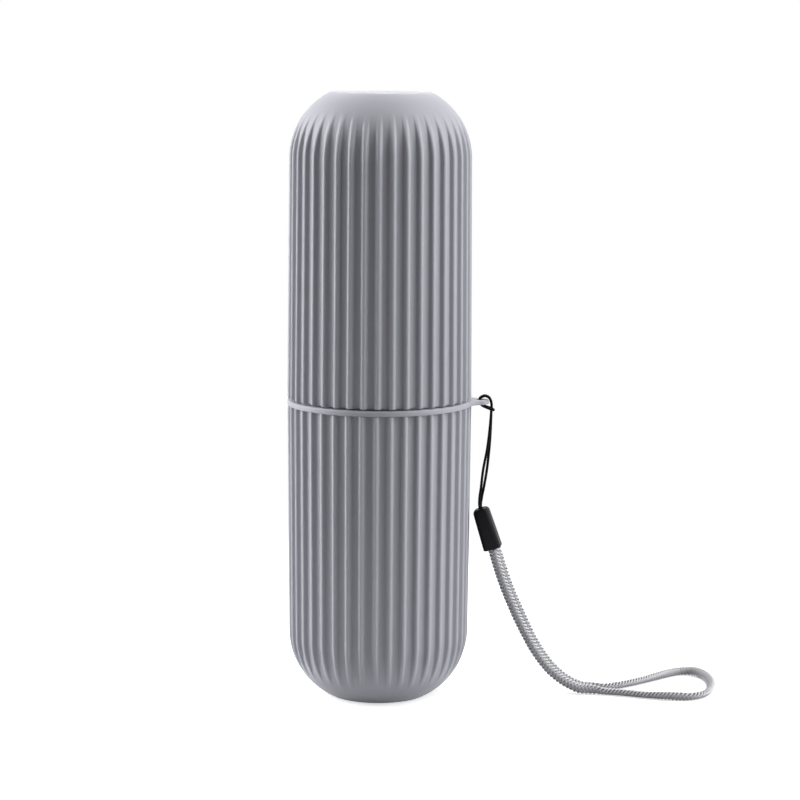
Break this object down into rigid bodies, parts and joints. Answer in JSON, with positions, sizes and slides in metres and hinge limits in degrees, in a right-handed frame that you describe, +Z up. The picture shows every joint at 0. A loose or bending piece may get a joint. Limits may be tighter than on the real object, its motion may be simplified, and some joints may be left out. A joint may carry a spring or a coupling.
{
  "type": "travel toothbrush case",
  "caption": "Tall capsule-shaped travel case for a toothbrush: fluted cup with a flange and neck, fluted push-on cap, and a braided wrist lanyard hitched to an ear on the flange.",
  "frame": {"origin": "centre of the cup's flat base, on the table", "axes": "+Z up along the case, +X towards the ear that carries the lanyard, +Y away from the viewer of the picture"},
  "size_m": [0.1485, 0.0626, 0.206],
  "materials": {
    "shell_plastic": "satin grey moulding",
    "ferrule_plastic": "smooth black moulding",
    "string": "thin black twisted cord",
    "braid": "flat-sided grey braided cord"
  },
  "bodies": {
    "cup": {"cup": "shell_plastic"},
    "cap": {"cap": "shell_plastic"},
    "lanyard": {"lanyard_string": "string", "lanyard_ferrule": "ferrule_plastic", "wrist_strap": "braid"}
  },
  "joints": [
    {"name": "cap_pull", "type": "slide", "parent": "cup", "child": "cap", "axis": [0, 0, 1], "range_m": [0, 0.1]},
    {"name": "lanyard_swing", "type": "hinge", "parent": "cup", "child": "lanyard", "pos_m": [0.0382, 0, 0.0989], "axis": [0, -1, 0], "range_deg": [0, 120], "deforming": ["lanyard_string"]}
  ]
}
